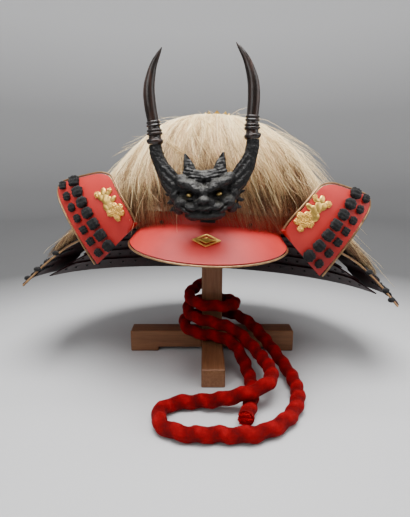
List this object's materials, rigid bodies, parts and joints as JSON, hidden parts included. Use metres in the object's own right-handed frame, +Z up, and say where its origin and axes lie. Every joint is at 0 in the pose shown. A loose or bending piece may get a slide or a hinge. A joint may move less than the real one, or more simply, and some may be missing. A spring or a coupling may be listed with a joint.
{
  "type": "kabuto samurai helmet on a plain stand",
  "caption": "Lacquered kabuto helmet with horned beast-mask crest, pale hair, turned-back plates and layered neck guard, on a wooden cross-base stand with a red cord.",
  "frame": {"origin": "on the surface that the stand rests on, where the post's axis meets it", "axes": "+X to the viewer's right, across the helmet; +Y towards the back of the neck guard; -Y where the helmet faces; +Z up along the post"},
  "size_m": [0.4938, 0.4391, 0.3789],
  "materials": {
    "red_lacquer": "glossy red-brown lacquer over metal plate",
    "dark_lacquer": "dark maroon lacquer over metal plate",
    "gilt": "soft gilt",
    "dark_iron": "dull black with worn grey edges",
    "horn_lacquer": "dark brown-black lacquer, semi-gloss",
    "black_lacing": "braided silk lace",
    "pale_hair": "loose pale hair",
    "plain_wood": "plain planed red-brown softwood",
    "red_cord": "soft red velvet cord"
  },
  "bodies": {
    "root": {"bowl": "red_lacquer", "head_block": "plain_wood", "cross_beam": "plain_wood", "front_beam": "plain_wood", "post": "plain_wood", "brim": "red_lacquer", "brim_rim": "gilt", "brim_crest": "gilt", "crown_ornament": "gilt", "neck_wing_left": "dark_lacquer", "neck_wing_right": "dark_lacquer", "wing_edge_left": "gilt", "wing_edge_right": "gilt", "turnback_left": "red_lacquer", "turnback_right": "red_lacquer", "turnback_rim_left": "gilt", "turnback_rim_right": "gilt", "turnback_spray_left": "gilt", "turnback_spray_right": "gilt", "crest_mask": "dark_iron", "horn_left": "horn_lacquer", "horn_right": "horn_lacquer", "crest_prong": "dark_iron", "hair": "pale_hair", "cord": "red_cord", "cord_ring": "dark_iron", "neck_lame_1": "dark_lacquer", "neck_lame_2": "dark_lacquer", "neck_lame_3": "dark_lacquer", "neck_lame_4": "dark_lacquer", "neck_lame_5": "dark_lacquer", "small_knot_left_1": "black_lacing", "large_knot_left_1": "black_lacing", "small_knot_left_2": "black_lacing", "large_knot_left_2": "black_lacing", "small_knot_left_3": "black_lacing", "large_knot_left_3": "black_lacing", "small_knot_left_4": "black_lacing", "large_knot_left_4": "black_lacing", "small_knot_left_5": "black_lacing", "large_knot_left_5": "black_lacing", "small_knot_left_6": "black_lacing", "large_knot_left_6": "black_lacing", "small_knot_left_7": "black_lacing", "large_knot_left_7": "black_lacing", "small_knot_right_1": "black_lacing", "large_knot_right_1": "black_lacing", "small_knot_right_2": "black_lacing", "large_knot_right_2": "black_lacing", "small_knot_right_3": "black_lacing", "large_knot_right_3": "black_lacing", "small_knot_right_4": "black_lacing", "large_knot_right_4": "black_lacing", "small_knot_right_5": "black_lacing", "large_knot_right_5": "black_lacing", "small_knot_right_6": "black_lacing", "large_knot_right_6": "black_lacing", "small_knot_right_7": "black_lacing", "large_knot_right_7": "black_lacing"}
  },
  "joints": []
}
